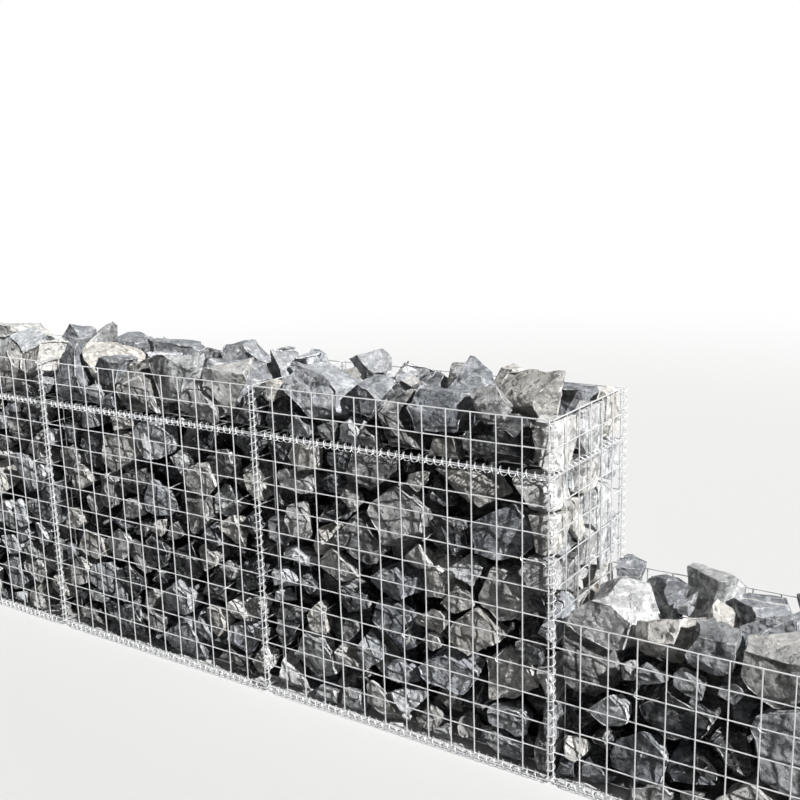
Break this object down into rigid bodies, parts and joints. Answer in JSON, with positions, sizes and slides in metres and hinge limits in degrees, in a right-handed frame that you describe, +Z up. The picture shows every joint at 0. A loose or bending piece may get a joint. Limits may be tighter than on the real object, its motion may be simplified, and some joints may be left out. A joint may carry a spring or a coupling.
{
  "type": "gabion wall",
  "caption": "Free-standing gabion wall of laced wire mesh baskets filled with broken stone, stepping down from full height to seat height, with heaped open tops.",
  "frame": {"origin": "bottom centre of the whole wall, on the ground, midway along it and midway between front and back", "axes": "+X along the wall from the tall bays to the low bays, +Y from the front face to the back face, +Z up"},
  "size_m": [5.9712, 0.49, 1.0841],
  "materials": {
    "stone": "broken limestone, dark blue-grey with pale scuffs and white veins",
    "mesh_wire": "galvanised, dull",
    "coil_wire": "galvanised, dull"
  },
  "bodies": {
    "root": {"back_mesh_1": "mesh_wire", "back_mesh_2": "mesh_wire", "back_mesh_3": "mesh_wire", "back_mesh_4": "mesh_wire", "back_mesh_5": "mesh_wire", "back_mesh_6": "mesh_wire", "base_coils_back": "coil_wire", "base_coils_front": "coil_wire", "base_mesh_low": "mesh_wire", "base_mesh_tall": "mesh_wire", "divider_mesh_1": "mesh_wire", "divider_mesh_2": "mesh_wire", "divider_mesh_3": "mesh_wire", "divider_mesh_5": "mesh_wire", "front_mesh_1": "mesh_wire", "front_mesh_2": "mesh_wire", "front_mesh_3": "mesh_wire", "front_mesh_4": "mesh_wire", "front_mesh_5": "mesh_wire", "front_mesh_6": "mesh_wire", "joint_coil_1": "coil_wire", "joint_coil_2": "coil_wire", "joint_coil_3": "coil_wire", "joint_coil_4": "coil_wire", "joint_coil_5": "coil_wire", "joint_coil_6": "coil_wire", "joint_coil_7": "coil_wire", "left_end_mesh": "mesh_wire", "low_fill_1": "stone", "low_fill_2": "stone", "lower_fill_1": "stone", "lower_fill_2": "stone", "lower_fill_3": "stone", "lower_fill_4": "stone", "right_end_mesh": "mesh_wire", "shelf_coils_back": "coil_wire", "shelf_coils_ends": "coil_wire", "shelf_coils_front": "coil_wire", "shelf_mesh": "mesh_wire", "step_mesh": "mesh_wire", "upper_fill_1": "stone", "upper_fill_2": "stone", "upper_fill_3": "stone", "upper_fill_4": "stone"}
  },
  "joints": []
}
